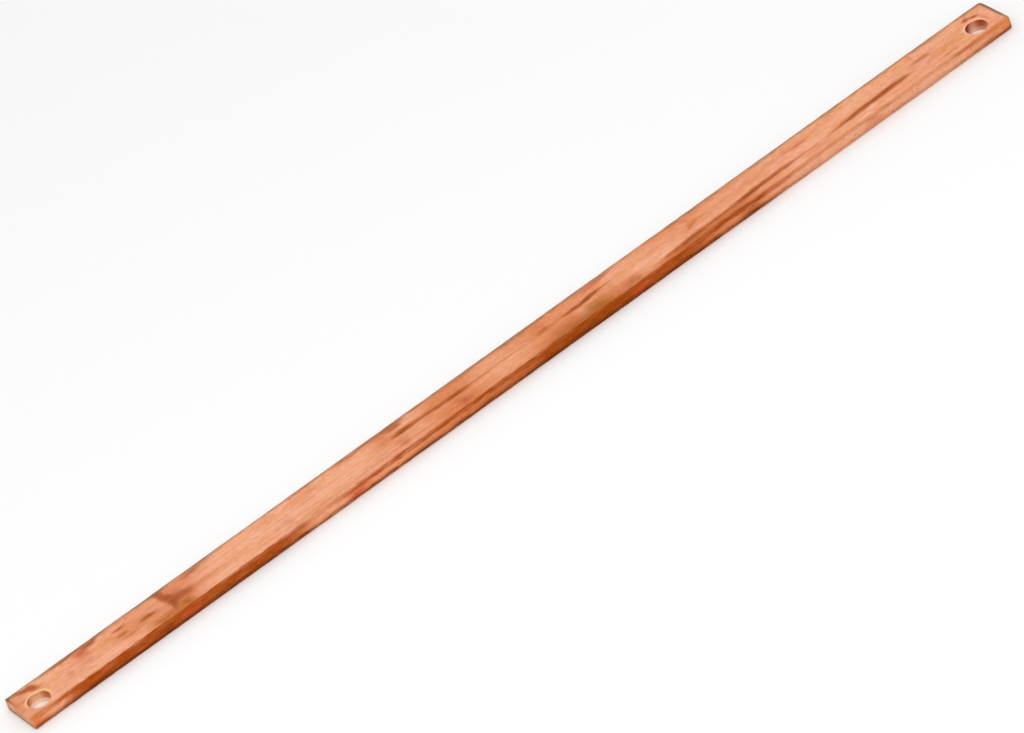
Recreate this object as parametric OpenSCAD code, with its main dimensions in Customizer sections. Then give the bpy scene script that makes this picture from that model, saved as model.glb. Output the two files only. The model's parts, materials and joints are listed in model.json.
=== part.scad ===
// Rack grounding busbar: one length of drawn flat copper bar, cut to length,
// deburred, and drilled near each end to screw across a 19 inch rack.
// The bar lies flat, with its length along X and its centre line at Y = 0.
// The origin is under the middle of the bar, on the face it rests on.

/* [Bar stock] */
// Width of the flat bar
bar_w = 20; // [16:0.5:40]
// Thickness of the flat bar
bar_t = 5; // [3:0.25:10]
// Radius that drawing leaves on the four long edges
edge_r = 1; // [0.2:0.05:1.4]

/* [Cut ends] */
// Metal left beyond the centre of the left hole
left_end = 8.3; // [7:0.1:40]
// Metal left beyond the centre of the right hole
right_end = 11.6; // [7:0.1:40]
// Radius filed on the two upright corners of the left end
left_corner_r = 0.8; // [0.2:0.05:3]
// Radius filed on the two upright corners of the right end
right_corner_r = 2; // [0.2:0.05:3]
// Bevel filed along the top and bottom rims of each end face
end_bevel = 0.3; // [0.1:0.05:0.8]

/* [Mounting holes] */
// Distance between the two holes, centre to centre, that of 19 inch rack rails
hole_pitch = 465.1; // [200:0.1:700]
// Diameter drilled, a free fit on the rack's screws
hole_d = 9; // [5:0.1:10.5]
// Distance of both holes' centres from the front long edge
hole_edge = 7.75; // [7:0.05:9]
// Bevel on the rim of each hole, on both faces
hole_bevel = 0.25; // [0.1:0.05:0.5]

/* [Hidden] */
$fn = 96;
// Overrun of a cutting tool past the face it breaks through
cut_over = 1;
// The bar is as long as the holes and the metal past them need
bar_l = left_end + hole_pitch + right_end;
hole_y = hole_edge - bar_w / 2;
left_x = left_end - bar_l / 2;
right_x = left_x + hole_pitch;

// Rectangle centred on the origin, with true arcs of radius r at its corners
module rounded_rectangle(across, up, r) {
  square([across - 2 * r, up], center = true);
  square([across, up - 2 * r], center = true);
  for (sx = [-1, 1], sy = [-1, 1])
    translate([sx * (across / 2 - r), sy * (up / 2 - r)])
      circle(r = r);
}

// Rectangle centred on the origin, with its corners cut back by b at 45 degrees
module bevelled_rectangle(across, up, b) {
  x = across / 2;
  y = up / 2;
  polygon([[b - x, -y], [x - b, -y], [x, b - y], [x, y - b],
           [x - b, y], [b - x, y], [-x, y - b], [-x, b - y]]);
}

// Drawn section: the stock's width and thickness with its four edges rolled round
module drawn_stock() {
  translate([0, 0, bar_t / 2])
    rotate([90, 0, 90])
      linear_extrude(bar_l + 2 * cut_over, center = true)
        rounded_rectangle(bar_w, bar_t, edge_r);
}

// Right half of the bar seen from above, with true arcs of radius r at its end's corners
module outline_half(r) {
  translate([-cut_over, -bar_w / 2])
    square([bar_l / 2 - r + cut_over, bar_w]);
  translate([-cut_over, r - bar_w / 2])
    square([bar_l / 2 + cut_over, bar_w - 2 * r]);
  for (sy = [-1, 1])
    translate([bar_l / 2 - r, sy * (bar_w / 2 - r)])
      circle(r = r);
}

// Cut length seen from above: square ends, each with its corners filed its own amount
module cut_outline() {
  translate([0, 0, -cut_over])
    linear_extrude(bar_t + 2 * cut_over) {
      outline_half(right_corner_r);
      mirror([1, 0]) outline_half(left_corner_r);
    }
}

// Cut length seen from the side: the rims of both end faces filed off
module filed_ends() {
  translate([0, 0, bar_t / 2])
    rotate([90, 0, 0])
      linear_extrude(bar_w + 2 * cut_over, center = true)
        bevelled_rectangle(bar_l, bar_t, end_bevel);
}

// Conical cut whose wide end overruns a face, leaving a 45 degree bevel there
module rim_bevel() {
  translate([0, 0, -hole_bevel])
    cylinder(h = hole_bevel + cut_over,
             r1 = hole_d / 2, r2 = hole_d / 2 + hole_bevel + cut_over);
}

// Drill and both deburring cuts of one mounting hole
module hole_cutter() {
  translate([0, 0, -cut_over])
    cylinder(h = bar_t + 2 * cut_over, d = hole_d);
  translate([0, 0, bar_t]) rim_bevel();
  mirror([0, 0, 1]) rim_bevel();
}

module busbar() {
  color([0.86, 0.57, 0.42])
    difference() {
      intersection() {
        drawn_stock();
        cut_outline();
        filed_ends();
      }
      for (x = [left_x, right_x])
        translate([x, hole_y, 0])
          hole_cutter();
    }
}

busbar();
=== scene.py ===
# %% [markdown]
# # Rack grounding busbar
# A grounding busbar is one length of flat copper bar that is screwed across the back of a
# server rack. Every earth lead in the rack ends on it. The real one is drawn through a die,
# sawn off, deburred and drilled, so this lesson makes it in that order: the bar stock, its
# rolled edges, its ends, its holes, the marks of drawing, and last the metal's colour.
#
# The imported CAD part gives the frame. Sizes and hole places are read from it, so the model
# made here stays in step with it.

# %% The frame
import json
import math

import bmesh
import bpy
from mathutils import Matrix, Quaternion, Vector


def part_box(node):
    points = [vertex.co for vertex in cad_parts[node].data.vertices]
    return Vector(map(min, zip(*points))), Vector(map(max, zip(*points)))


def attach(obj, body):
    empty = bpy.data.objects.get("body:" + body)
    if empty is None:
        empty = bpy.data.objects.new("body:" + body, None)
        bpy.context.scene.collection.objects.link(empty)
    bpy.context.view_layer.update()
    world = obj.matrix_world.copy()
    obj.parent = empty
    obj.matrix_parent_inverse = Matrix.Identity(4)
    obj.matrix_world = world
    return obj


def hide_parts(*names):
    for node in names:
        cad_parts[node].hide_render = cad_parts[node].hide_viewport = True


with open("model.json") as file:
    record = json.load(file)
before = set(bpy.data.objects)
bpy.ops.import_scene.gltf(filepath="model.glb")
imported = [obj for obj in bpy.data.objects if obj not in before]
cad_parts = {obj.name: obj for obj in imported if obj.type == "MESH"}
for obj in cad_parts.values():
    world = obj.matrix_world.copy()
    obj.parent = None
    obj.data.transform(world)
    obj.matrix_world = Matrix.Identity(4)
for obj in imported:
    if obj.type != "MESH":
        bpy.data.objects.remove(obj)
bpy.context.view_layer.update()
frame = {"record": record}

MM = 0.001
low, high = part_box("busbar")
bar_l, bar_w, bar_t = high - low
middle = (low + high) / 2
mounts = {mount["name"]: mount for mount in frame["record"]["mounts"]}
holes = [mounts["left_hole"], mounts["right_hole"]]
hole_r = holes[0]["dims"]["r_mm"] * MM
hole_places = [Vector(hole["pos_m"]) for hole in holes]
print("bar", [round(side / MM, 2) for side in (bar_l, bar_w, bar_t)], "mm")
print("holes at x", [round(place.x / MM, 2) for place in hole_places], "mm")

# %% [markdown]
# ## Camera
# The bar is long and thin, so it is looked at with a long lens from well back, from the left
# and above, and the camera is tipped so that the bar runs from corner to corner.
# The place is worked out from an aim point, two angles and a distance, because those are
# the values that anyone moving a camera would change.

# %% Camera
aim = Vector((-7.62, -2.33, 2.5)) * MM
distance = 2573.7 * MM
long_lens = 238.55
round_from_front = math.radians(24.61)
height_angle = math.radians(35.84)
tip = math.radians(20.66)

looking = Vector((math.sin(round_from_front) * math.cos(height_angle),
                  math.cos(round_from_front) * math.cos(height_angle),
                  -math.sin(height_angle)))
bpy.ops.object.camera_add(location=aim - looking * distance)
camera = bpy.context.object
camera.name = "camera"
camera.rotation_mode = "QUATERNION"
camera.rotation_quaternion = looking.to_track_quat("-Z", "Y") @ Quaternion((0, 0, 1), -tip)
camera.data.sensor_width = 36
camera.data.lens = long_lens
camera.data.clip_start = 0.05
bpy.context.scene.camera = camera
print("camera at", [round(value, 3) for value in camera.location], "m")

# %% [markdown]
# ## Node helpers
# Materials here are procedural, so they are built from nodes in code. Five short helpers
# keep that readable. `put` adds a node and fills its inputs with numbers or links. `calc`,
# `fade` and `tint` are the sums that come up again and again, and `rgb` names a colour.

# %% Node helpers
def put(tree, kind, inputs=(), out=0, **settings):
    """Adds a node, sets it up, fills its inputs, and gives back one of its outputs."""
    node = tree.nodes.new("ShaderNode" + kind)
    node.location = (len(tree.nodes) % 12 * 190, -(len(tree.nodes) // 12) * 260)
    for name, value in settings.items():
        setattr(node, name, value)
    pairs = inputs.items() if isinstance(inputs, dict) else enumerate(inputs)
    for key, value in pairs:
        if isinstance(value, bpy.types.NodeSocket):
            tree.links.new(value, node.inputs[key])
        elif value is not None:
            node.inputs[key].default_value = value
    return node.outputs[out]


def calc(tree, operation, *values, clamp=False):
    """A sum of one, two or three values."""
    return put(tree, "Math", values, operation=operation, use_clamp=clamp)


def fade(tree, value, start, end, low_value=0.0, high_value=1.0):
    """A smooth step: low_value at start, high_value at end."""
    return put(tree, "MapRange", [value, start, end, low_value, high_value],
               interpolation_type="SMOOTHSTEP")


def tint(tree, amount, under, over, mode="MIX"):
    """Lays one colour over another."""
    return put(tree, "Mix", {0: amount, 6: under, 7: over}, out=2,
               data_type="RGBA", blend_type=mode)


def rgb(red, green, blue):
    """A colour as shown on screen, from 0 to 255, as the linear light that nodes work in."""
    parts = [value / 255 for value in (red, green, blue)]
    return tuple(p / 12.92 if p < 0.04045 else ((p + 0.055) / 1.055) ** 2.4 for p in parts) + (1,)


print("node helpers ready")

# %% [markdown]
# ## Studio
# Copper shows what is around it, so the surroundings are made before the bar. The room is a
# plain light tent, nearly white all round, so a colour that is written in a material is
# about the colour that is seen. A little more light comes from a window behind the bar, and
# the ceiling is slightly greyer, which is enough to tell the rolled edges from the flats.
# One soft box stands in front, so the shadow beside the bar stays faint and light reaches
# down into the holes. The floor is a plain pale sheet.

# %% Studio
HORIZON = 0.98
CEILING = 0.72
WINDOW = 1.05
PAPER = (0.96, 0.96, 0.96, 1)
window_direction = Vector((0.30, 0.75, 0.55)).normalized()

world = bpy.data.worlds.new("light tent")
bpy.context.scene.world = world
world.use_nodes = True
tent = world.node_tree
tent.nodes.clear()
direction = put(tent, "TexCoord", out=0)
upward = put(tent, "SeparateXYZ", [direction], out=2)
to_window = put(tent, "VectorMath", [direction, window_direction[:]], out=1,
                operation="DOT_PRODUCT")
level = fade(tent, upward, 0.08, 0.75, HORIZON, CEILING)
window_share = fade(tent, to_window, 0.72, 0.93)
brightness = put(tent, "Mix", {0: window_share, 2: level, 3: WINDOW}, out=0, data_type="FLOAT")
backing = tent.nodes.new("ShaderNodeBackground")
tent.links.new(brightness, backing.inputs["Strength"])
backing.inputs["Color"].default_value = (1, 1, 1, 1)
world_out = tent.nodes.new("ShaderNodeOutputWorld")
tent.links.new(backing.outputs[0], world_out.inputs[0])

bpy.ops.object.light_add(type="AREA", location=(-0.35, -1.00, 1.35))
soft_box = bpy.context.object
soft_box.name = "soft box"
soft_box.rotation_mode = "QUATERNION"
soft_box.rotation_quaternion = (-soft_box.location).to_track_quat("-Z", "Y")
soft_box.data.shape = "RECTANGLE"
soft_box.data.size = 1.0
soft_box.data.size_y = 0.8
soft_box.data.energy = 9.0

bpy.ops.mesh.primitive_circle_add(vertices=64, radius=6, fill_type="NGON",
                                  location=(0, 0, -0.02 * MM))
floor = bpy.context.object
floor.name = "floor"
paper = bpy.data.materials.new("pale paper")
paper.use_nodes = True
sheet = paper.node_tree.nodes["Principled BSDF"]
sheet.inputs["Base Color"].default_value = PAPER
sheet.inputs["Roughness"].default_value = 0.9
sheet.inputs["Specular IOR Level"].default_value = 0.1
floor.data.materials.append(paper)

bpy.context.scene.view_settings.view_transform = "Standard"
print("studio: tent, one soft box and a floor", round(floor.dimensions.x), "m across")

# %% [markdown]
# ## Tools for modelling
# Blender's operators act on whatever is selected, and the imported part is selected already.
# `only` clears the selection and takes one object. `pick` goes into edit mode and selects
# vertices, edges or faces by a test of their place, as a hand would click them.

# %% Modelling tools
def nothing():
    """Object mode, with nothing selected."""
    if bpy.context.object and bpy.context.object.mode != "OBJECT":
        bpy.ops.object.mode_set(mode="OBJECT")
    bpy.ops.object.select_all(action="DESELECT")


def only(thing):
    """Object mode, with this one thing selected."""
    nothing()
    thing.select_set(True)
    bpy.context.view_layer.objects.active = thing


def pick(thing, kind, test):
    """Edit mode, with only the parts selected whose vertices' places pass the test."""
    only(thing)
    bpy.ops.object.mode_set(mode="EDIT")
    bpy.ops.mesh.select_mode(type={"verts": "VERT", "edges": "EDGE", "faces": "FACE"}[kind])
    bpy.ops.mesh.select_all(action="DESELECT")
    mesh = bmesh.from_edit_mesh(thing.data)
    count = 0
    for part in getattr(mesh, kind):
        places = [part.co] if kind == "verts" else [vert.co for vert in part.verts]
        part.select = test(places)
        count += part.select
    mesh.select_flush_mode()
    bmesh.update_edit_mesh(thing.data)
    return count


def use(thing, kind, name, **settings):
    """Adds a modifier and applies it straight away."""
    only(thing)
    bpy.ops.object.modifier_add(type=kind)
    modifier = thing.modifiers[-1]
    for key, value in settings.items():
        setattr(modifier, key, value)
    bpy.ops.object.modifier_apply(modifier=modifier.name)
    print(name, "->", len(thing.data.polygons), "faces")


def near(a, b, slack=0.01 * MM):
    """Whether two lengths are the same, to within the slack."""
    return abs(a - b) < slack


print("modelling tools ready")

# %% [markdown]
# ## The cut length
# The blank starts as a flat rectangle of the bar's outline. Its four corners are rounded, as
# a file leaves them, more at the right end than at the left, and the outline is pulled up to
# the bar's thickness. Starting from the outline, not from a cube, gives the corners their
# radius before any edge is rolled.

# %% The cut length
corner_radii = {-1: 0.8 * MM, 1: 2.0 * MM}
corner_steps = 8

nothing()
bpy.ops.mesh.primitive_plane_add(size=1, location=(middle.x, middle.y, low.z))
bar = bpy.context.object
bar.name = "copper_bar"
bar.scale = (bar_l, bar_w, 1)
bpy.ops.object.transform_apply(location=True, rotation=True, scale=True)
for side, corner_r in corner_radii.items():
    count = pick(bar, "verts", lambda places: near(places[0].x, middle.x + side * bar_l / 2))
    bpy.ops.mesh.bevel(offset=corner_r, segments=corner_steps, affect="VERTICES")
    print(count, "corners with a radius of", round(corner_r / MM, 1), "mm")
bpy.ops.mesh.select_all(action="SELECT")
bpy.ops.mesh.extrude_region_move(TRANSFORM_OT_translate={"value": (0, 0, bar_t)})
bpy.ops.mesh.select_all(action="SELECT")
bpy.ops.mesh.normals_make_consistent(inside=False)
only(bar)
print("blank", [round(side / MM, 2) for side in bar.dimensions], "mm")

# %% [markdown]
# ## Rolled edges and filed ends
# Drawing leaves a full 1 mm radius on the long edges, but a saw cut is only broken with a
# file. One Bevel modifier does both, because a bevel can be scaled edge by edge with weights:
# full weight along the bar, a third of it across the ends, and a fade round each corner.

# %% Rolled edges and filed ends
rolled_edge = 1.0 * MM
filed_edge = 0.3 * MM


def rim_edges(side, lowest, highest):
    """Picks the rims' edges whose middles lie lowest to highest from one end of the bar."""
    def test(places):
        centre = sum(places, Vector()) / 2
        level = near(places[0].z, places[1].z)
        inset = bar_l / 2 - side * (centre.x - middle.x)
        return level and lowest <= inset < highest
    return test


def roll(side, lowest, highest, share):
    """Gives those edges a bevel weight, from the filed edge at 0 to the rolled edge at 1."""
    weight = (filed_edge + (rolled_edge - filed_edge) * share) / rolled_edge
    if pick(bar, "edges", rim_edges(side, lowest, highest)):
        bpy.ops.transform.edge_bevelweight(value=weight)


hair = 0.001 * MM
for side, corner_r in corner_radii.items():
    roll(side, -hair, 5 * hair, 0.0)
    for step in range(corner_steps):
        start, end = [corner_r * (1 - math.cos(math.radians(90 * turn / corner_steps)))
                      for turn in (step, step + 1)]
        roll(side, max(start - hair, 5 * hair), end - hair, (step + 0.5) / corner_steps)
roll(1, corner_radii[1] + hair, bar_l - corner_radii[-1] - hair, 1.0)
use(bar, "BEVEL", "rolled and filed edges", limit_method="WEIGHT", offset_type="OFFSET",
    width=rolled_edge, segments=8, profile=0.5, loop_slide=True)
print("bar", [round(side / MM, 3) for side in bar.dimensions], "mm")

# %% [markdown]
# ## Drilled holes
# A drill is a cylinder that the bar is cut with: a Boolean modifier takes it away. The sharp
# rims that are left are picked by their distance from the hole's axis and bevelled, as a
# deburring tool would. The rim catches the light, and that ring is what makes a hole read
# as drilled metal.

# %% Drilled holes
rim_bevel = 0.25 * MM

for place in hole_places:
    nothing()
    bpy.ops.mesh.primitive_cylinder_add(vertices=96, radius=hole_r, depth=3 * bar_t,
                                        location=place)
    drill = bpy.context.object
    use(bar, "BOOLEAN", "drilled", operation="DIFFERENCE", object=drill, solver="EXACT")
    only(drill)
    bpy.ops.object.delete()


def on_rim(places):
    """Whether an edge lies level on the rim of a hole."""
    for place in hole_places:
        on_wall = all(near((p - place).xy.length, hole_r, 0.02 * MM) for p in places)
        if on_wall and near(places[0].z, places[1].z):
            return True
    return False


print(pick(bar, "edges", on_rim), "rim edges")
bpy.ops.mesh.bevel(offset=rim_bevel, segments=3, affect="EDGES", loop_slide=True)
only(bar)

# %% [markdown]
# ## Cutting the faces into strips
# So far each flat is one huge face, which nothing can bend. Drawing marks run along the bar,
# so the mesh is cut finely across and more coarsely along. Bisect slices the whole mesh with
# a plane, straight through the hole rims as well, where a subdivide would need neat quads.

# %% Strips
X, Y, Z = 0, 1, 2
strip_w = 0.3 * MM
strip_l = 2.0 * MM


def slice_mesh(axis, start, end, step):
    """Cuts the mesh in edit mode at even steps along one axis."""
    cuts = round((end - start) / step)
    normal = Vector([float(axis == i) for i in range(3)])
    for number in range(1, cuts):
        bpy.ops.mesh.select_all(action="SELECT")
        place = normal * (start + (end - start) * number / cuts)
        bpy.ops.mesh.bisect(plane_co=place, plane_no=normal)
    return cuts


only(bar)
bpy.ops.object.mode_set(mode="EDIT")
across = slice_mesh(Y, low.y + rolled_edge, high.y - rolled_edge, strip_w)
up = slice_mesh(Z, low.z + rolled_edge, high.z - rolled_edge, strip_w)
along = slice_mesh(X, low.x, high.x, strip_l)
only(bar)
print(across, "strips across,", up, "up,", along, "along ->", len(bar.data.polygons), "faces")

# %% [markdown]
# ## Marks of drawing and handling
# A die leaves long shallow lines, the bar is never quite flat, and its edges pick up knocks.
# Each is a Displace modifier that reads a cloud texture through an empty: where the empty is
# stretched along the bar, the clouds become lines. Every displacement only goes inwards, so
# the bar keeps its outside size.

# %% Marks of drawing
cloud_start = (0.31, 0.17, 0.05)


def cloud(name, size_mm, depth, contrast=1.0, level=1.0, group=""):
    """Presses a cloud pattern of that size into the metal, at most to that depth."""
    texture = bpy.data.textures.new(name, "CLOUDS")
    texture.noise_scale = 1.0
    texture.noise_depth = 2
    texture.contrast = contrast
    texture.intensity = level
    texture.use_clamp = True
    nothing()
    bpy.ops.object.empty_add(location=cloud_start)
    stretch = bpy.context.object
    stretch.scale = Vector(size_mm) * MM
    bpy.context.view_layer.update()
    use(bar, "DISPLACE", name, texture=texture, texture_coords="OBJECT",
        texture_coords_object=stretch, direction="NORMAL", mid_level=0, strength=-depth,
        vertex_group=group)
    only(stretch)
    bpy.ops.object.delete()


only(bar)
bpy.ops.object.vertex_group_add()
bar.vertex_groups[-1].name = "edges"
pick(bar, "verts", lambda places: abs(places[0].y) > bar_w / 2 - rolled_edge
     and abs(places[0].z - middle.z) > bar_t / 2 - rolled_edge)
bpy.ops.object.vertex_group_assign()

cloud("die lines", (90, 0.7, 0.7), 0.03 * MM)
cloud("uneven faces", (30, 5, 5), 0.05 * MM)
cloud("knocked edges", (4, 1.5, 1.5), 0.16 * MM, contrast=3.0, level=0.55, group="edges")

# %% Smooth shading
only(bar)
bpy.ops.object.shade_smooth_by_angle(angle=math.radians(40))
bar.vertex_groups.clear()
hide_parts("busbar")
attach(bar, "root")
triangles = sum(len(face.vertices) - 2 for face in bar.data.polygons)
print("copper_bar", triangles, "triangles", [round(side / MM, 3) for side in bar.dimensions])

# %% [markdown]
# ## Patterns that the copper shares
# Bare copper is never one colour. It tarnishes in patches, and drawing leaves fine lines
# along it. Each of these effects is a node group: it is built once, and each material then
# uses it with its own values. All of them work in millimetres of Object coordinates, so
# the pattern keeps its true scale and stays with the metal.

# %% Pattern helpers
def start_group(name, takes, gives):
    """A node group with named sockets: its tree, what it is given, and its way out."""
    tree = bpy.data.node_groups.new(name, "ShaderNodeTree")
    for side, sockets in (("INPUT", takes), ("OUTPUT", gives)):
        for socket, kind in sockets.items():
            tree.interface.new_socket(name=socket, in_out=side, socket_type="NodeSocket" + kind)
    return tree, tree.nodes.new("NodeGroupInput").outputs, tree.nodes.new("NodeGroupOutput").inputs


def noise(tree, place, size, detail=2.0, out=0):
    """Cloudy noise whose patches are about this long, wide and high in millimetres."""
    scaled = put(tree, "VectorMath", [place, size], operation="DIVIDE")
    return put(tree, "TexNoise", {"Vector": scaled, "Scale": 1.0, "Detail": detail}, out=out)


def split(tree, vector):
    """The three parts of a vector."""
    return put(tree, "SeparateXYZ", [vector]).node.outputs


print("pattern helpers ready")

# %% Drawn grain
grain, given, result = start_group("Drawn grain", {"Place": "Vector"},
                                   {"Fine": "Float", "Broad": "Float"})
fine = noise(grain, given["Place"], (45, 0.22, 0.22), 3.0)
broad = noise(grain, given["Place"], (70, 1.1, 1.1), 2.0)
grain.links.new(fade(grain, fine, 0.30, 0.70), result["Fine"])
grain.links.new(fade(grain, broad, 0.32, 0.68), result["Broad"])
print("drawn grain: lines 45 mm long and 0.2 mm apart")

# %% Copper tone
tone, given, result = start_group("Copper tone", {"Place": "Vector", "Bare": "Color",
                                                  "Pink": "Color", "Orange": "Color"},
                                  {"Color": "Color"})
pinkness = fade(tone, noise(tone, given["Place"], (7, 3.2, 3.2), 3.0), 0.48, 0.72)
orangeness = fade(tone, noise(tone, given["Place"], (26, 6, 6), 3.0), 0.45, 0.68)
warmer = tint(tone, orangeness, given["Bare"], given["Orange"])
tone.links.new(tint(tone, pinkness, warmer, given["Pink"]), result["Color"])
print("copper tone: pink flecks in orange drifts")

# %% Tarnish patches
patches, given, result = start_group("Tarnish patches", {"Place": "Vector", "Amount": "Float"},
                                     {"Mask": "Float"})
drift = noise(patches, given["Place"], (34, 5, 5), 4.0)
lines = noise(patches, given["Place"], (30, 1.1, 1.1), 2.0)
mixed = calc(patches, "MULTIPLY_ADD", lines, 0.45, calc(patches, "MULTIPLY", drift, 0.55))
threshold = calc(patches, "MULTIPLY_ADD", given["Amount"], -0.35, 0.72)
over = calc(patches, "SUBTRACT", mixed, threshold)
patches.links.new(fade(patches, over, 0.0, 0.12), result["Mask"])
print("tarnish patches: more of the metal is dark as Amount goes from 0 to 1")

# %% Bright hole rim
ring_r = 5.0
ring_fade = 1.0
ring_core = 0.3

# Painted highlight: a pale ring round each hole, on its far half only.
rim_glow, given, result = start_group("Bright hole rim", {"Place": "Vector", "Centre": "Vector"},
                                      {"Mask": "Float"})
flat = put(rim_glow, "VectorMath", [given["Centre"], (1, 1, 0)], operation="MULTIPLY")
away = put(rim_glow, "VectorMath", [given["Place"], flat], operation="SUBTRACT")
radius = put(rim_glow, "VectorMath", [away], out=1, operation="LENGTH")
off_ring = calc(rim_glow, "ABSOLUTE", calc(rim_glow, "SUBTRACT", radius, ring_r))
ring = fade(rim_glow, off_ring, ring_fade, ring_core)
far_side = fade(rim_glow, split(rim_glow, away)[1], -2.5, 2.0)
rim_glow.links.new(calc(rim_glow, "MULTIPLY", ring, far_side), result["Mask"])
print("bright hole rim: painted highlight up to", ring_fade, "mm either side of a ring")

# %% [markdown]
# ## Single marks
# The streaks and stains that give this bar its look are each in their own place. `Mark` is
# a soft ellipse with a centre, a size, a turn and a strength. Marks are laid one after the
# other: each takes what the ones before it left clear, and passes on what is still clear,
# so overlapping marks run together and never add up to more than full strength.

# %% Mark
mark, given, result = start_group("Mark", {"Place": "Vector", "Centre": "Vector",
                                           "Size": "Vector", "Turn": "Float",
                                           "Strength": "Float", "Clear": "Float"},
                                  {"Clear": "Float"})
offset = put(mark, "VectorMath", [given["Place"], given["Centre"]], operation="SUBTRACT")
turned = put(mark, "VectorRotate", {"Vector": offset, "Angle": given["Turn"]},
             rotation_type="Z_AXIS", invert=True)
share = put(mark, "VectorMath", [turned, given["Size"]], operation="DIVIDE")
reach = put(mark, "VectorMath", [share], out=1, operation="LENGTH")
left_over = calc(mark, "SUBTRACT", 1.0, given["Strength"])
kept = fade(mark, reach, 0.80, 0.05, 1.0, left_over)
mark.links.new(calc(mark, "MULTIPLY", kept, given["Clear"]), result["Clear"])


def lay(tree, place, family, spread=1.0):
    """Lays a family of marks and gives their mask: (x, across, long, wide, turn, strength)."""
    clear = 1.0
    for x, across, long, wide, turn, strength in family:
        clear = put(tree, "Group", {"Place": place, "Centre": (x, across, 0),
                                    "Size": (long, wide * spread, 1),
                                    "Turn": math.radians(turn),
                                    "Strength": strength, "Clear": clear}, node_tree=mark)
    return calc(tree, "SUBTRACT", 1.0, clear)


def along_bar(tree, x, strengths):
    """A strength that changes along the bar, through a colour ramp: (x, strength)."""
    share = calc(tree, "MULTIPLY_ADD", x, MM / bar_l, 0.5)
    strength = put(tree, "ValToRGB", [share])
    stops = strength.node.color_ramp.elements
    stops[1].position = 1.0
    for spot, value in strengths:
        stop = stops.new(spot * MM / bar_l + 0.5)
        stop.color = (value, value, value, 1)
    stops[0].color = stops[1].color
    stops[-1].color = stops[-2].color
    return strength


print("mark group:", len(mark.nodes), "nodes")

# %% [markdown]
# ## Where the marks are on the top
# All are in millimetres on the top face: x along the bar, then y across it, the mark's
# length and width, its turn in degrees, and its strength. Streaks are dark draw marks, and
# stains are where fingers or water lay, apart from the dark arcs just beyond the far rim of
# each hole, whose cause is not known. Haze is a thin orange film, and the olive spots and the
# red blush are films of other colours. The pale patches are lighter places, and the bright
# line is a painted highlight on the right part of the rolled front rim.

# %% Marks of the top face
streaks = [
    (-192, 4.3, 7, 1.7, 0, 0.80), (-193, 0.3, 6, 1.9, 0, 0.75), (-181.5, 0.2, 9, 2.1, -5, 0.95),
    (-191, -2.8, 9, 1.6, 0, 0.50), (-196.5, 0.8, 5, 1.3, 0, 0.40), (-155, -1, 6, 2, 8, 0.40),
    (-57, 1.7, 15, 2.4, 0, 0.95), (-49, 1.4, 12, 1.8, 0, 0.55), (-41, 1.1, 17, 2.4, -2, 0.80),
    (-31, 0.8, 15, 2.8, -2, 0.92), (-20, 0.8, 15, 1.5, 0, 0.50), (-7, 0.9, 22, 1.1, 0, 0.45),
    (11, 1.3, 9, 2.6, 0, 0.75), (18, 1.2, 12, 1.5, 0, 0.45), (25.5, 1.2, 10, 1.8, 0, 1.00),
    (30.5, 1.4, 9, 1.8, 0, 0.80), (35, 1.8, 10, 2.3, 5, 1.00), (41.5, 2.3, 12, 1.7, 3, 0.55),
    (85.5, 0.8, 8.5, 2.1, 28, 0.60), (86, 5.7, 1.8, 2.1, 0, 0.45), (70, -5.9, 16, 1.8, 2, 0.60),
    (98, -8.6, 40, 1.8, 0, 0.85), (74, -7.8, 30, 2.2, 2, 0.55), (100, -6.9, 36, 1.8, 2, 0.45),
    (81, -5.4, 20, 2.4, 3, 0.90), (98, -4.7, 26, 2.0, 2.5, 0.80), (113, -4.1, 20, 2.5, 2.5, 0.95),
    (126, -3.5, 24, 2.4, 0, 0.78), (142, -3.6, 18, 1.7, 0, 0.45), (142, 3, 12, 1.8, 0, 0.55),
    (134, 3.3, 16, 1.3, 0, 0.25), (157, -3, 14, 1.8, 6, 0.55), (165, -2.4, 16, 2.3, 5, 0.78),
    (175, -2, 18, 2.5, 3, 0.86), (185, -1.7, 18, 2.7, 2, 0.90), (193, -1.6, 12, 2, 0, 0.60),
    (205, 2, 13, 1.8, 0, 0.65), (222, 2, 9, 1.2, 0, 0.22),
]
stains = [
    (-172.6, 8.2, 6, 4.4, 100, 0.80), (-171.7, 4.6, 8, 4.2, 105, 0.90),
    (-170.7, 0.4, 9, 4.4, 96, 1.00), (-171.2, -4, 8, 3.8, 80, 0.85),
    (-167.2, -0.6, 11, 7, -8, 0.82), (-163, -1.2, 12, 6.5, -6, 0.50),
    (-213, 8.4, 26, 2.6, 0, 0.75), (-168, 5, 8, 8, 0, 0.30), (-205, 6.9, 10, 4, 15, 0.85),
    (-210.5, 5.4, 7, 5, -30, 0.50), (-218.5, -0.5, 5, 6, 0, 0.35),
    (-61, -4.5, 7, 7, 0, 0.50), (-31, -6.0, 8, 7, 0, 0.55), (-60, 7.4, 14, 4, 0, 0.60),
    (-76, 7.9, 28, 3, 0, 0.60), (-26, 7.6, 10, 3.4, 0, 0.40), (38, 6.8, 13, 3.6, 0, 0.40),
    (-117, -2.5, 8, 9, 0, 0.34), (45, 6.9, 9, 3, 0, 0.35), (-210, -0.8, 8, 4.5, 0, 0.45),
    (-157, 6.6, 12, 4.2, 0, 0.70), (-65, 2, 9, 3.5, 0, 0.35), (-59, 6.8, 7, 5, 0, 0.50),
    (-33.5, -3.5, 6, 8, 0, 0.40), (19, -5.8, 22, 8, -5, 0.60), (51, -6.2, 13, 8, 0, 0.60),
    # Dark arcs just beyond the far rim of each hole; what made them is not known.
    (-234, 6.1, 12, 4.4, -28, 0.95), (234.8, 4.4, 3.4, 2.6, -30, 0.85),
    (231.4, 5.4, 4.8, 2.8, 0, 0.95), (215, -5, 9, 3.5, 0, 0.28), (-242, 3, 4, 16, 0, 0.50),
    (-129.5, -5.3, 7, 2, 0, 0.25),
]
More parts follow.
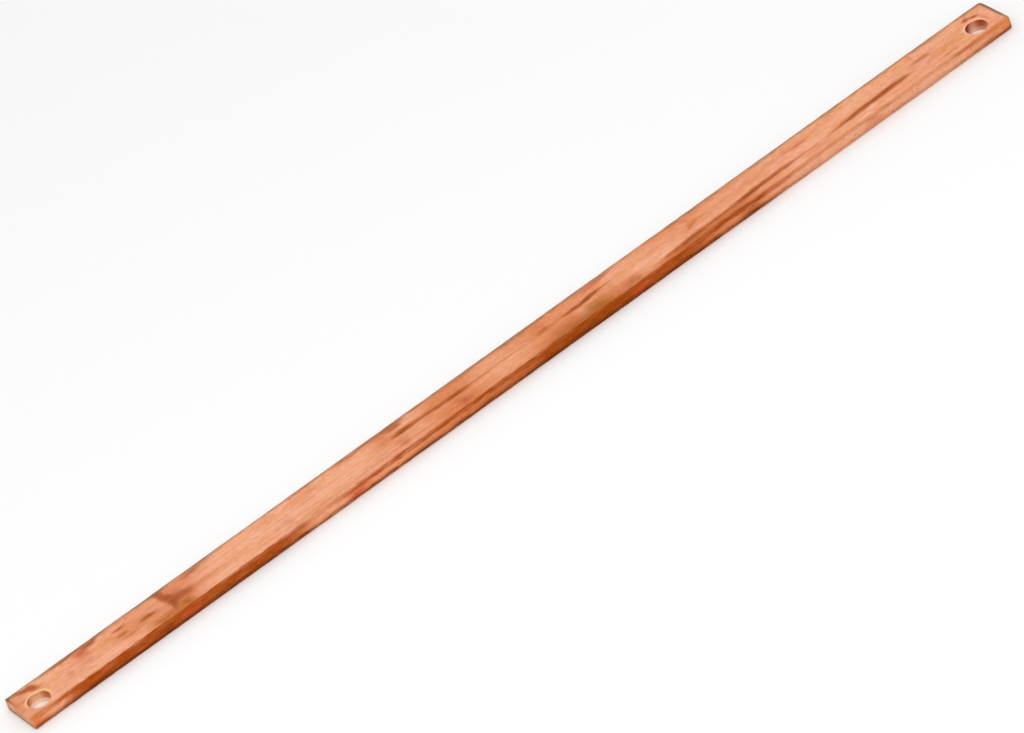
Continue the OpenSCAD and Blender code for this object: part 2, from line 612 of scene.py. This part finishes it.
olive_spots = [
    (-167.4, -6.2, 5.5, 4, 0, 0.85), (33.5, -6.3, 13, 8, 0, 0.85), (-178, -7, 15, 5, 0, 0.50),
    (28, -8.4, 44, 4, 0, 0.70), (12, -8.6, 20, 3.4, 0, 0.40),
]
haze = [
    (-178, -6.5, 17, 8, 0, 0.80), (-168.6, -6.8, 14, 8, 0, 1.00), (-164, 3, 18, 18, 0, 0.55),
    (-239, -2, 7, 17, 0, 0.45), (-106, 4, 11, 8, 0, 0.40), (-100, -5.5, 16, 4, 0, 0.30),
    (-64.5, 4.5, 13, 14, 0, 0.55), (-36.5, 5, 34, 9, 0, 0.65), (-35, -4.5, 30, 11, 0, 0.60),
    (15, -4.5, 38, 12, 0, 0.45), (42, -5, 14, 11, 0, 0.50), (75, -7.6, 42, 4.4, 2, 0.85),
    (100, -7, 28, 3.5, 2, 0.55), (146, -7.5, 17, 6, 0, 0.45), (5, 4.5, 24, 8, 0, 0.45),
    (28, 5, 30, 7, 0, 0.35), (232, -8.6, 24, 3, 0, 0.40),
    (-186, 1, 26, 15, 0, 0.50), (95, 3, 76, 10, 0, 0.35), (140, 4.5, 34, 6, 0, 0.35),
    (208, -2, 40, 9, 0, 0.25), (30, -6.5, 56, 9, 0, 0.80), (108, -7.4, 34, 4, 0, 0.80),
    (90, -6.8, 60, 3.6, 1, 0.70), (-171, -7.5, 24, 5, 0, 0.60), (-84, -6.6, 52, 4, 0, 0.40),
    (-34, -7.4, 52, 3.6, 0, 0.40), (78, 7.6, 40, 4, 0, 0.75),
    (110, 7.8, 32, 3.4, 0, 0.50),
]
red_blush = [
    (-210, 4.2, 8, 6, -25, 0.55), (11, 5.5, 6, 4, 0, 0.50), (40.5, 6.7, 12, 4, 0, 0.60),
    (202.5, 6.5, 2.2, 8, 0, 0.50), (-100.5, 5, 4.5, 3, 0, 0.40), (236.6, 0, 3.2, 10, 0, 0.45),
    (-169, 4, 7, 10, 0, 0.35), (-67, 5, 5, 6, 0, 0.35),
]
pale_patches = [
    (-227.5, 7, 6, 7, 0, 0.65), (-203, -4, 12, 8, 0, 0.35), (-187, -7.6, 8, 3, 0, 0.45),
    (-136, 0, 40, 18, 0, 0.40), (-92, 0, 46, 18, 0, 0.40), (-53, 5.3, 16, 5, 0, 0.65),
    (-10, 0, 28, 18, 0, 0.35), (27.5, -4, 6, 7, 0, 0.40), (60, 0, 30, 15, 0, 0.35),
    (45, 6, 6, 4, 0, 0.50), (117, -6.2, 14, 2.6, 2, 0.50), (228, 4, 30, 10, 0, 0.25),
]
# Painted highlight along the right part of the rolled front rim.
front_rim_highlight = [
    (222, -9.2, 34, 2.2, 0, 0.80), (236, -9.2, 12, 2.6, 0, 0.90), (196, -9.1, 30, 1.8, 0, 0.45),
    (150, -9.1, 40, 1.6, 0, 0.30),
]
print(len(streaks + stains + olive_spots + haze + red_blush + pale_patches + front_rim_highlight),
      "marks on the top")

# %% [markdown]
# ## Where the marks are on the front edge
# The narrow front face is painted far darker than the top: its brown is partly tarnish and
# partly painted shade, for a face that looks down towards the floor. These marks are placed
# by x along the bar and z up it. The brown, the dark line on the rim, a painted reflection,
# and the dark foot, a painted shade, run on along the bar, so each of those is a list of
# places along it with the strength there.

# %% Marks of the front edge
# Brown on the front face, partly tarnish and partly painted shade, by strength along the bar.
edge_brown_and_shade = [
    (-242, 0.05), (-230, 0.05), (-226, 0.35), (-221, 0.92), (-176, 0.97), (-169, 0.88),
    (-164, 0.95), (-125, 0.95), (-118, 0.60), (-111, 0.15), (-102, 0.00), (-62, 0.05),
    (-55, 0.30), (-38, 0.30), (-27, 0.52), (-18, 0.62), (-8, 0.72), (0, 0.90), (8, 1.00),
    (48, 1.00), (57, 0.90), (74, 0.97), (82, 0.70), (90, 0.42), (98, 0.30), (103, 0.50),
    (108, 0.80), (113, 0.40), (118, 0.10), (128, 0.00),
]
edge_deep = [
    (-178.5, 2.6, 13, 8, 0, 0.65), (30, 2.5, 46, 9, 0, 0.90), (69, 2.5, 22, 7, 0, 0.45),
    (-200, 2.3, 34, 6, 0, 0.40), (-140, 2.0, 40, 4, 0, 0.35),
]
edge_red = [
    (-169, 3, 12, 8, 0, 0.50), (-88.5, 3, 10, 8, 0, 0.75), (51.5, 3, 9, 8, 0, 0.75),
    (-240.5, 3, 5, 8, 0, 0.25), (170, 3, 9, 5, 0, 0.35),
]
edge_pale = [
    (-231, 3.3, 14, 6, 0, 0.95), (-102, 3.6, 28, 7, 0, 0.90), (-73.5, 3.6, 30, 5, 0, 0.45),
    (-47, 3.6, 32, 3, 0, 0.35), (96.5, 3.6, 22, 5, 0, 0.55), (116, 3.3, 16, 6, 0, 0.70),
]
edge_paler = [
    (134, 3.0, 26, 8, 0, 0.80), (160, 3.0, 60, 9, 0, 0.95), (204, 3.0, 56, 9, 0, 1.00),
    (-102, 3.6, 22, 6, 0, 0.35), (-231, 3.0, 10, 5, 0, 0.45),
]
# Painted reflection: the dark line on the rolled front rim, by strength along the bar.
front_rim_dark_reflection = [
    (-242, 0.45), (-231, 0.70), (-222, 1.00), (-185, 1.00), (-178, 0.88), (-165, 0.95),
    (-125, 0.95), (-118, 0.80), (-109, 0.35), (-98, 0.40), (-88, 0.75), (-80, 0.85),
    (-68, 0.92), (-56, 0.84), (-42, 0.85), (-25, 1.00), (50, 1.00), (58, 0.86), (66, 0.95),
    (94, 0.88), (113, 1.00), (121, 0.65), (138, 0.20), (166, 0.20), (178, 0.35), (188, 0.15),
    (204, 0.15), (219, 0.50), (229, 0.35), (240, 0.20),
]
# Painted shade: the dark foot of the front face, by strength along the bar.
foot_shade = [
    (-242, 0.80), (-230, 0.85), (-220, 0.95), (-130, 0.95), (-108, 0.85), (0, 0.90),
    (30, 0.95), (110, 0.90), (126, 0.50), (142, 0.20), (204, 0.20), (218, 0.35), (229, 0.65),
    (240, 0.70),
]
print(len(edge_deep + edge_red + edge_pale + edge_paler), "marks on the front edge and",
      len(edge_brown_and_shade + front_rim_dark_reflection + foot_shade), "strengths along it")

# %% [markdown]
# ## Three materials
# Drawing, sawing and drilling each leave copper looking different, so each has a material.
# They start alike: full metal, with a warm tint that keeps dark copper from turning pink at
# a low angle.

# %% New material
def new_material(name):
    """A material with its tree, its shader node, and Object coordinates in millimetres."""
    material = bpy.data.materials.new(name)
    material.use_nodes = True
    tree = material.node_tree
    place = put(tree, "VectorMath", {0: put(tree, "TexCoord", out=3), 3: 1 / MM},
                operation="SCALE")
    shader = tree.nodes["Principled BSDF"]
    shader.inputs["Metallic"].default_value = 1.0
    shader.inputs["Specular Tint"].default_value = (1.0, 0.85, 0.65, 1)
    return material, tree, shader, place


print("a new material reads its place in millimetres")

# %% [markdown]
# ## Drawn copper
# The long faces. The colour is built up in layers, in the order the real surface got them:
# bare metal first, then the films and stains over it, and last the darkening of the edges,
# which is partly tarnish and partly painted shade and reflection. The coordinates are shaken
# a little by noise before any mark reads them, which gives every mark a ragged outline. The
# top is read by x and y, and the front edge by x and z.

# %% Drawn copper: where it is read
drawn, tree, metal, place = new_material("drawn copper")
x, y, z = split(tree, place)

shake = put(tree, "VectorMath", [noise(tree, place, (5, 1.8, 1.8), 3.0, out=1), (0.5, 0.5, 0.5)],
            operation="SUBTRACT")
shaken = put(tree, "VectorMath", [shake, (5, 1.7, 1.6), place], operation="MULTIPLY_ADD")
shaken_x, shaken_y, shaken_z = split(tree, shaken)
soft_shake = put(tree, "VectorMath", [noise(tree, place, (6, 4, 4), 2.0, out=1),
                                      (0.5, 0.5, 0.5)], operation="SUBTRACT")
blurred = put(tree, "VectorMath", [soft_shake, (3.5, 3.0, 0), place], operation="MULTIPLY_ADD")
blurred_x, blurred_y = split(tree, blurred)[:2]
on_top = put(tree, "CombineXYZ", [shaken_x, shaken_y])
on_top_soft = put(tree, "CombineXYZ", [blurred_x, blurred_y])
on_edge = put(tree, "CombineXYZ", [shaken_x, shaken_z])
print("drawn copper: shaken places,", len(tree.nodes), "nodes")

# %% Drawn copper: grain and grit
fine = put(tree, "Group", [place], out=0, node_tree=grain)
broad = put(tree, "Group", [place], out=1, node_tree=grain)
strokes = fade(tree, noise(tree, place, (7, 0.55, 0.55), 3.0), 0.30, 0.66)
ragged = calc(tree, "MULTIPLY_ADD", strokes, 0.62, 0.50)
speckle = fade(tree, noise(tree, place, (3.0, 1.6, 1.6), 4.0), 0.30, 0.70)
grit = noise(tree, place, (1.9, 0.9, 0.8), 2.0)
light_grit = fade(tree, grit, 0.56, 0.68)
red_grit = fade(tree, grit, 0.44, 0.33)
rubbed = put(tree, "Group", {"Place": place, "Amount": 0.42}, node_tree=patches)


def broken(tree, mask):
    """Lets the grain break a mask up."""
    return calc(tree, "MULTIPLY", mask, ragged, clamp=True)


print("drawn copper: grain and grit,", len(tree.nodes), "nodes")

# %% Drawn copper: bare metal
bare = put(tree, "Group", {"Place": place, "Bare": rgb(235, 167, 132), "Pink": rgb(242, 176, 151),
                           "Orange": rgb(229, 154, 108)}, node_tree=tone)
mottle = noise(tree, place, (6, 3.5, 3.5), 4.0)
bare = tint(tree, fade(tree, mottle, 0.52, 0.74, 0.0, 0.35), bare, rgb(238, 152, 122))
bare = tint(tree, fade(tree, mottle, 0.48, 0.26, 0.0, 0.35), bare, rgb(232, 168, 112))
middle_part = calc(tree, "MULTIPLY", fade(tree, shaken_x, -80, -20), fade(tree, shaken_x, 70, 20))
bare = tint(tree, calc(tree, "MULTIPLY", middle_part, 0.5), bare, rgb(219, 135, 88))
bare = tint(tree, calc(tree, "MULTIPLY", rubbed, 0.22), bare, rgb(205, 120, 78))
gritty = calc(tree, "MAXIMUM", calc(tree, "MULTIPLY", fade(tree, y, 2.5, 6.5), 0.40),
              calc(tree, "MULTIPLY", middle_part, 0.22))
bare = tint(tree, calc(tree, "MULTIPLY", red_grit, gritty), bare, rgb(220, 108, 76))
bare = tint(tree, calc(tree, "MULTIPLY", light_grit, gritty), bare, rgb(248, 190, 146))
print("drawn copper: bare metal,", len(tree.nodes), "nodes")

# %% [markdown]
# Over the bare metal come the top's films, then its stains and streaks. A stain or streak
# is laid twice: a thin wide film of it, and its dark core, which the grain breaks up.

# %% Drawn copper: the top
haze_mask = lay(tree, on_top_soft, haze)
top = tint(tree, calc(tree, "MULTIPLY", haze_mask, 0.9), bare, rgb(212, 118, 66))
pale_mask = lay(tree, on_top, pale_patches)
top = tint(tree, pale_mask, top, rgb(241, 178, 142))
red_mask = lay(tree, on_top_soft, red_blush)
top = tint(tree, red_mask, top, rgb(214, 108, 78))
draw_lines = noise(tree, shaken, (110, 1.3, 1.3), 1.0)
top = tint(tree, fade(tree, draw_lines, 0.60, 0.74, 0.0, 0.38), top, rgb(196, 108, 66))
stain_mask = lay(tree, on_top_soft, stains)
top = tint(tree, fade(tree, stain_mask, 0.0, 1.0), top, rgb(204, 116, 76))
top = tint(tree, broken(tree, fade(tree, stain_mask, 0.30, 1.35)), top, rgb(158, 76, 40))
olive_mask = lay(tree, on_top_soft, olive_spots)
top = tint(tree, broken(tree, olive_mask), top, rgb(158, 92, 32))
streak_mask = lay(tree, on_top, streaks, spread=1.35)
top = tint(tree, fade(tree, streak_mask, 0.0, 1.0), top, rgb(206, 118, 70))
top = tint(tree, broken(tree, fade(tree, streak_mask, 0.35, 1.2)), top, rgb(150, 70, 26))
# Painted highlight on the rolled front rim, towards the right end.
front_rim_highlight_mask = lay(tree, on_top, front_rim_highlight)
top = tint(tree, front_rim_highlight_mask, top, rgb(234, 136, 74))
print("drawn copper: marks on the top,", len(tree.nodes), "nodes")

# %% Drawn copper: hole rims and far edge
# Painted highlight round the far half of each hole, yellower at the left hole and pinker at the
# right.
for hole_place, hole_rim_highlight in zip(hole_places, (rgb(249, 194, 142), rgb(248, 186, 160))):
    hole_rim_highlight_mask = put(tree, "Group", {"Place": on_top_soft, "Centre": hole_place / MM},
                     node_tree=rim_glow)
    top = tint(tree, calc(tree, "MULTIPLY", hole_rim_highlight_mask, 0.85), top, hole_rim_highlight)

far_reach = calc(tree, "MULTIPLY_ADD", fade(tree, noise(tree, place, (14, 9, 9)), 0.35, 0.7),
                 1.4, shaken_y)
far_line = calc(tree, "MULTIPLY", fade(tree, far_reach, 7.3, 10.2),
                calc(tree, "MULTIPLY_ADD", speckle, 0.55, calc(tree, "SUBTRACT", ragged, 0.2)),
                clamp=True)
top = tint(tree, calc(tree, "MULTIPLY", far_line, 0.9), top, rgb(150, 112, 84))
print("drawn copper: rims and far edge,", len(tree.nodes), "nodes")

# %% [markdown]
# The front edge starts from a more orange copper and gets its own marks: paler places, then
# the brown, partly tarnish and partly painted shade, with the grain in it, and last the dark
# foot, a painted shade.

# %% Drawn copper: the front edge
edge = put(tree, "Group", {"Place": place, "Bare": rgb(232, 148, 99), "Pink": rgb(241, 166, 126),
                           "Orange": rgb(222, 126, 66)}, node_tree=tone)
pale_mask = lay(tree, on_edge, edge_pale)
edge = tint(tree, pale_mask, edge, rgb(246, 172, 128))
# Paler places on the front edge, most of them towards the right end.
paler_mask = lay(tree, on_edge, edge_paler)
edge = tint(tree, paler_mask, edge, rgb(240, 178, 143))
# The brown darkens the front face: partly tarnish, partly painted shade.
brown_and_shade_mask = along_bar(tree, shaken_x, edge_brown_and_shade)
edge = tint(tree, calc(tree, "MULTIPLY", brown_and_shade_mask, calc(tree, "MULTIPLY_ADD", strokes, 0.3, 0.75),
                       clamp=True), edge, rgb(172, 76, 14))
edge = tint(tree, fade(tree, noise(tree, shaken, (9, 1.2, 0.8), 3.0), 0.56, 0.74, 0.0, 0.55),
            edge, rgb(232, 128, 62))
# The deep marks darken the front face further, also partly painted shade.
deep_mask = lay(tree, on_edge, edge_deep)
edge = tint(tree, broken(tree, deep_mask), edge, rgb(148, 68, 8))
red_mask = lay(tree, on_edge, edge_red)
edge = tint(tree, calc(tree, "MULTIPLY", red_mask, ragged), edge, rgb(214, 82, 50))
edge = tint(tree, calc(tree, "MULTIPLY", red_grit, 0.36), edge, rgb(200, 84, 42))
edge = tint(tree, calc(tree, "MULTIPLY", light_grit, 0.26), edge, rgb(236, 146, 84))
# Painted shade at the foot of the front face, where it mirrors the shadowed floor beside the bar.
foot_shade_mask = calc(tree, "MULTIPLY", along_bar(tree, shaken_x, foot_shade),
                 fade(tree, shaken_z, 2.7, 1.1))
edge = tint(tree, broken(tree, foot_shade_mask), edge, rgb(118, 56, 22))
print("drawn copper: marks on the front edge,", len(tree.nodes), "nodes")

# %% [markdown]
# Now the faces are put together. The top turns into the front edge round the rolled corner,
# with a dark line on the rim over both, a painted dark reflection. The back and the underside
# get plain patches, because nothing is known of them, and the end rims are darkened: the far
# part of the left rim, and the right rim as a painted dark reflection.

# %% Drawn copper: the faces together
# Painted reflection: the rolled front rim is darkened, standing in for a darker reflection than the
# tent gives.
front_rim_reflection_mask = calc(tree, "MULTIPLY", along_bar(tree, shaken_x, front_rim_dark_reflection),
                calc(tree, "MULTIPLY", fade(tree, shaken_y, -7.8, -9.0),
                     fade(tree, shaken_z, 3.7, 4.6)))
front = fade(tree, y, -9.2, -9.85)
colour = tint(tree, front, top, edge)
colour = tint(tree, broken(tree, front_rim_reflection_mask), colour, rgb(168, 72, 12))

hidden = calc(tree, "MAXIMUM", fade(tree, y, 9.2, 9.85), fade(tree, z, 0.5, 0.1))
hidden_dirt = put(tree, "Group", {"Place": shaken, "Amount": 0.75}, node_tree=patches)
behind = tint(tree, hidden_dirt, bare, rgb(180, 92, 42))
colour = tint(tree, hidden, colour, behind)
# The far part of the left end's rim is darker, and the right end's rounded rim gets a painted dark
# reflection.
left_rim = calc(tree, "MULTIPLY", fade(tree, blurred_x, -240.5, -242.5), fade(tree, y, 2, 9))
right_rim_dark_reflection = calc(tree, "MULTIPLY", fade(tree, x, 240.3, 241.9, 0.0, 0.95),
                 fade(tree, calc(tree, "SUBTRACT", z, y), 8.5, 13.5, 1.0, 0.45))
colour = tint(tree, calc(tree, "MAXIMUM", left_rim, right_rim_dark_reflection), colour, rgb(128, 94, 72))
shade = calc(tree, "MULTIPLY_ADD", fine, 0.12, calc(tree, "MULTIPLY_ADD", speckle, 0.12, 0.885))
shade = calc(tree, "MULTIPLY_ADD", broad, 0.06, calc(tree, "SUBTRACT", shade, 0.03))
colour = tint(tree, 1.0, colour, shade, mode="MULTIPLY")
print("drawn copper: all faces,", len(tree.nodes), "nodes")

# %% [markdown]
# Stained metal is also duller, so the stain masks raise the roughness, and so do the masks of
# the front face's brown and of the dark rim line. The grain makes the bump, 0.025 mm deep.

# %% Drawn copper: shine and bump
dull_places = calc(tree, "MAXIMUM", calc(tree, "MAXIMUM", streak_mask, stain_mask),
            calc(tree, "MAXIMUM", front_rim_reflection_mask, calc(tree, "MULTIPLY", front, brown_and_shade_mask)))
rough = calc(tree, "MULTIPLY_ADD", dull_places, 0.16, 0.31)
rough = calc(tree, "MULTIPLY_ADD", fine, 0.08, rough)
height = calc(tree, "MULTIPLY_ADD", broad, 0.5, fine)
bump = put(tree, "Bump", {"Strength": 0.6, "Distance": 0.025 * MM, "Height": height})
tree.links.new(colour, metal.inputs["Base Color"])
tree.links.new(rough, metal.inputs["Roughness"])
tree.links.new(bump, metal.inputs["Normal"])
print("drawn copper:", len(tree.nodes), "nodes")

# %% [markdown]
# ## Sawn ends and drilled holes
# The saw leaves fine upright scratches across the ends, which stay brighter than the edges
# but are patchy and darker towards the back and towards the foot. The drill leaves the hole
# walls smoother still, with rings round them; their near-white copper is partly bright cut
# metal and partly painted light, with painted shade at the right and darker painted shade at
# the left. The foot of each wall is paler still, a painted reflection of the pale floor, more
# so in the left hole.

# %% Sawn copper
sawn, tree, metal, place = new_material("sawn copper")
y, z = split(tree, place)[1:]
saw_lines = noise(tree, place, (0.5, 0.35, 6), 3.0)
end_tone = put(tree, "Group", {"Place": place, "Bare": rgb(228, 172, 140),
                               "Pink": rgb(230, 176, 152), "Orange": rgb(220, 154, 116)},
               node_tree=tone)
end_dirt = put(tree, "Group", {"Place": place, "Amount": 0.35}, node_tree=patches)
# Darker towards the back of each end, over the tarnish patches.
patches_and_darker_back = calc(tree, "MAXIMUM", end_dirt, fade(tree, y, 3.0, 9.5), clamp=True)
colour = tint(tree, calc(tree, "MULTIPLY", patches_and_darker_back, 0.6), end_tone, rgb(184, 122, 94))
colour = tint(tree, fade(tree, saw_lines, 0.35, 0.7, 0.0, 0.3), colour, rgb(204, 136, 102))
# Darker towards the foot of each end.
foot_height = calc(tree, "MULTIPLY_ADD", noise(tree, place, (3, 4, 2)), 1.2, z)
colour = tint(tree, fade(tree, foot_height, 2.1, 1.0, 0.0, 0.9), colour, rgb(122, 82, 60))
tree.links.new(colour, metal.inputs["Base Color"])
tree.links.new(fade(tree, saw_lines, 0.3, 0.7, 0.36, 0.55), metal.inputs["Roughness"])
bump = put(tree, "Bump", {"Strength": 0.6, "Distance": 0.05 * MM, "Height": saw_lines})
tree.links.new(bump, metal.inputs["Normal"])
print("sawn copper:", len(tree.nodes), "nodes")

# %% Drilled copper
hole_shade = [
    (-230.2, -1.6, 3.4, 7, 0, 0.90), (234.6, 0.2, 5.0, 7, 0, 1.00),
]
# Painted shade on the left part of each hole's wall.
hole_shade_left = [
    (-238.0, -0.8, 5.4, 7, 0, 0.75), (228.2, 0.6, 6.0, 7, 0, 1.00),
]

drilled, tree, metal, place = new_material("drilled copper")
x, y, z = split(tree, place)
drill_rings = noise(tree, place, (9, 9, 0.25), 3.0)
# The walls' near-white copper is partly bright cut metal and partly painted light falling into the
# holes.
wall_tone_and_light = put(tree, "Group", {"Place": place, "Bare": rgb(255, 218, 186),
                                "Pink": rgb(255, 210, 192), "Orange": rgb(250, 194, 152)},
                node_tree=tone)
round_hole = put(tree, "CombineXYZ", [x, y])
colour = tint(tree, lay(tree, round_hole, hole_shade), wall_tone_and_light, rgb(196, 108, 70))
# Painted shade at the left of each wall, darker than at the right.
colour = tint(tree, lay(tree, round_hole, hole_shade_left), colour, rgb(150, 66, 44))
# Painted reflection: the foot of each wall is made paler, as if it mirrored the pale floor, more in
# the left hole.
left_or_right = fade(tree, x, -9, 9, 0.85, 0.35)
wall_floor_reflection = calc(tree, "MULTIPLY", fade(tree, z, 2.3, 0.9), left_or_right)
colour = tint(tree, wall_floor_reflection, colour, rgb(255, 232, 214))
tree.links.new(colour, metal.inputs["Base Color"])
tree.links.new(fade(tree, drill_rings, 0.3, 0.7, 0.36, 0.50), metal.inputs["Roughness"])
bump = put(tree, "Bump", {"Strength": 0.5, "Distance": 0.03 * MM, "Height": drill_rings})
tree.links.new(bump, metal.inputs["Normal"])
print("drilled copper:", len(tree.nodes), "nodes")

# %% Materials on their faces
for material in (drawn, sawn, drilled):
    bar.data.materials.append(material)


def on_end(places):
    """Whether a face is part of either sawn end."""
    return all(abs(p.x - middle.x) > bar_l / 2 - 0.2 * MM for p in places)


def in_hole(places):
    """Whether a face is part of the wall of either hole."""
    centre = sum(places, Vector()) / len(places)
    return any((centre - place).xy.length < hole_r + 0.12 * MM for place in hole_places)


for slot, test in ((1, on_end), (2, in_hole)):
    count = pick(bar, "faces", test)
    bar.active_material_index = slot
    bpy.ops.object.material_slot_assign()
    print(bar.data.materials[slot].name, "on", count, "faces")
only(bar)
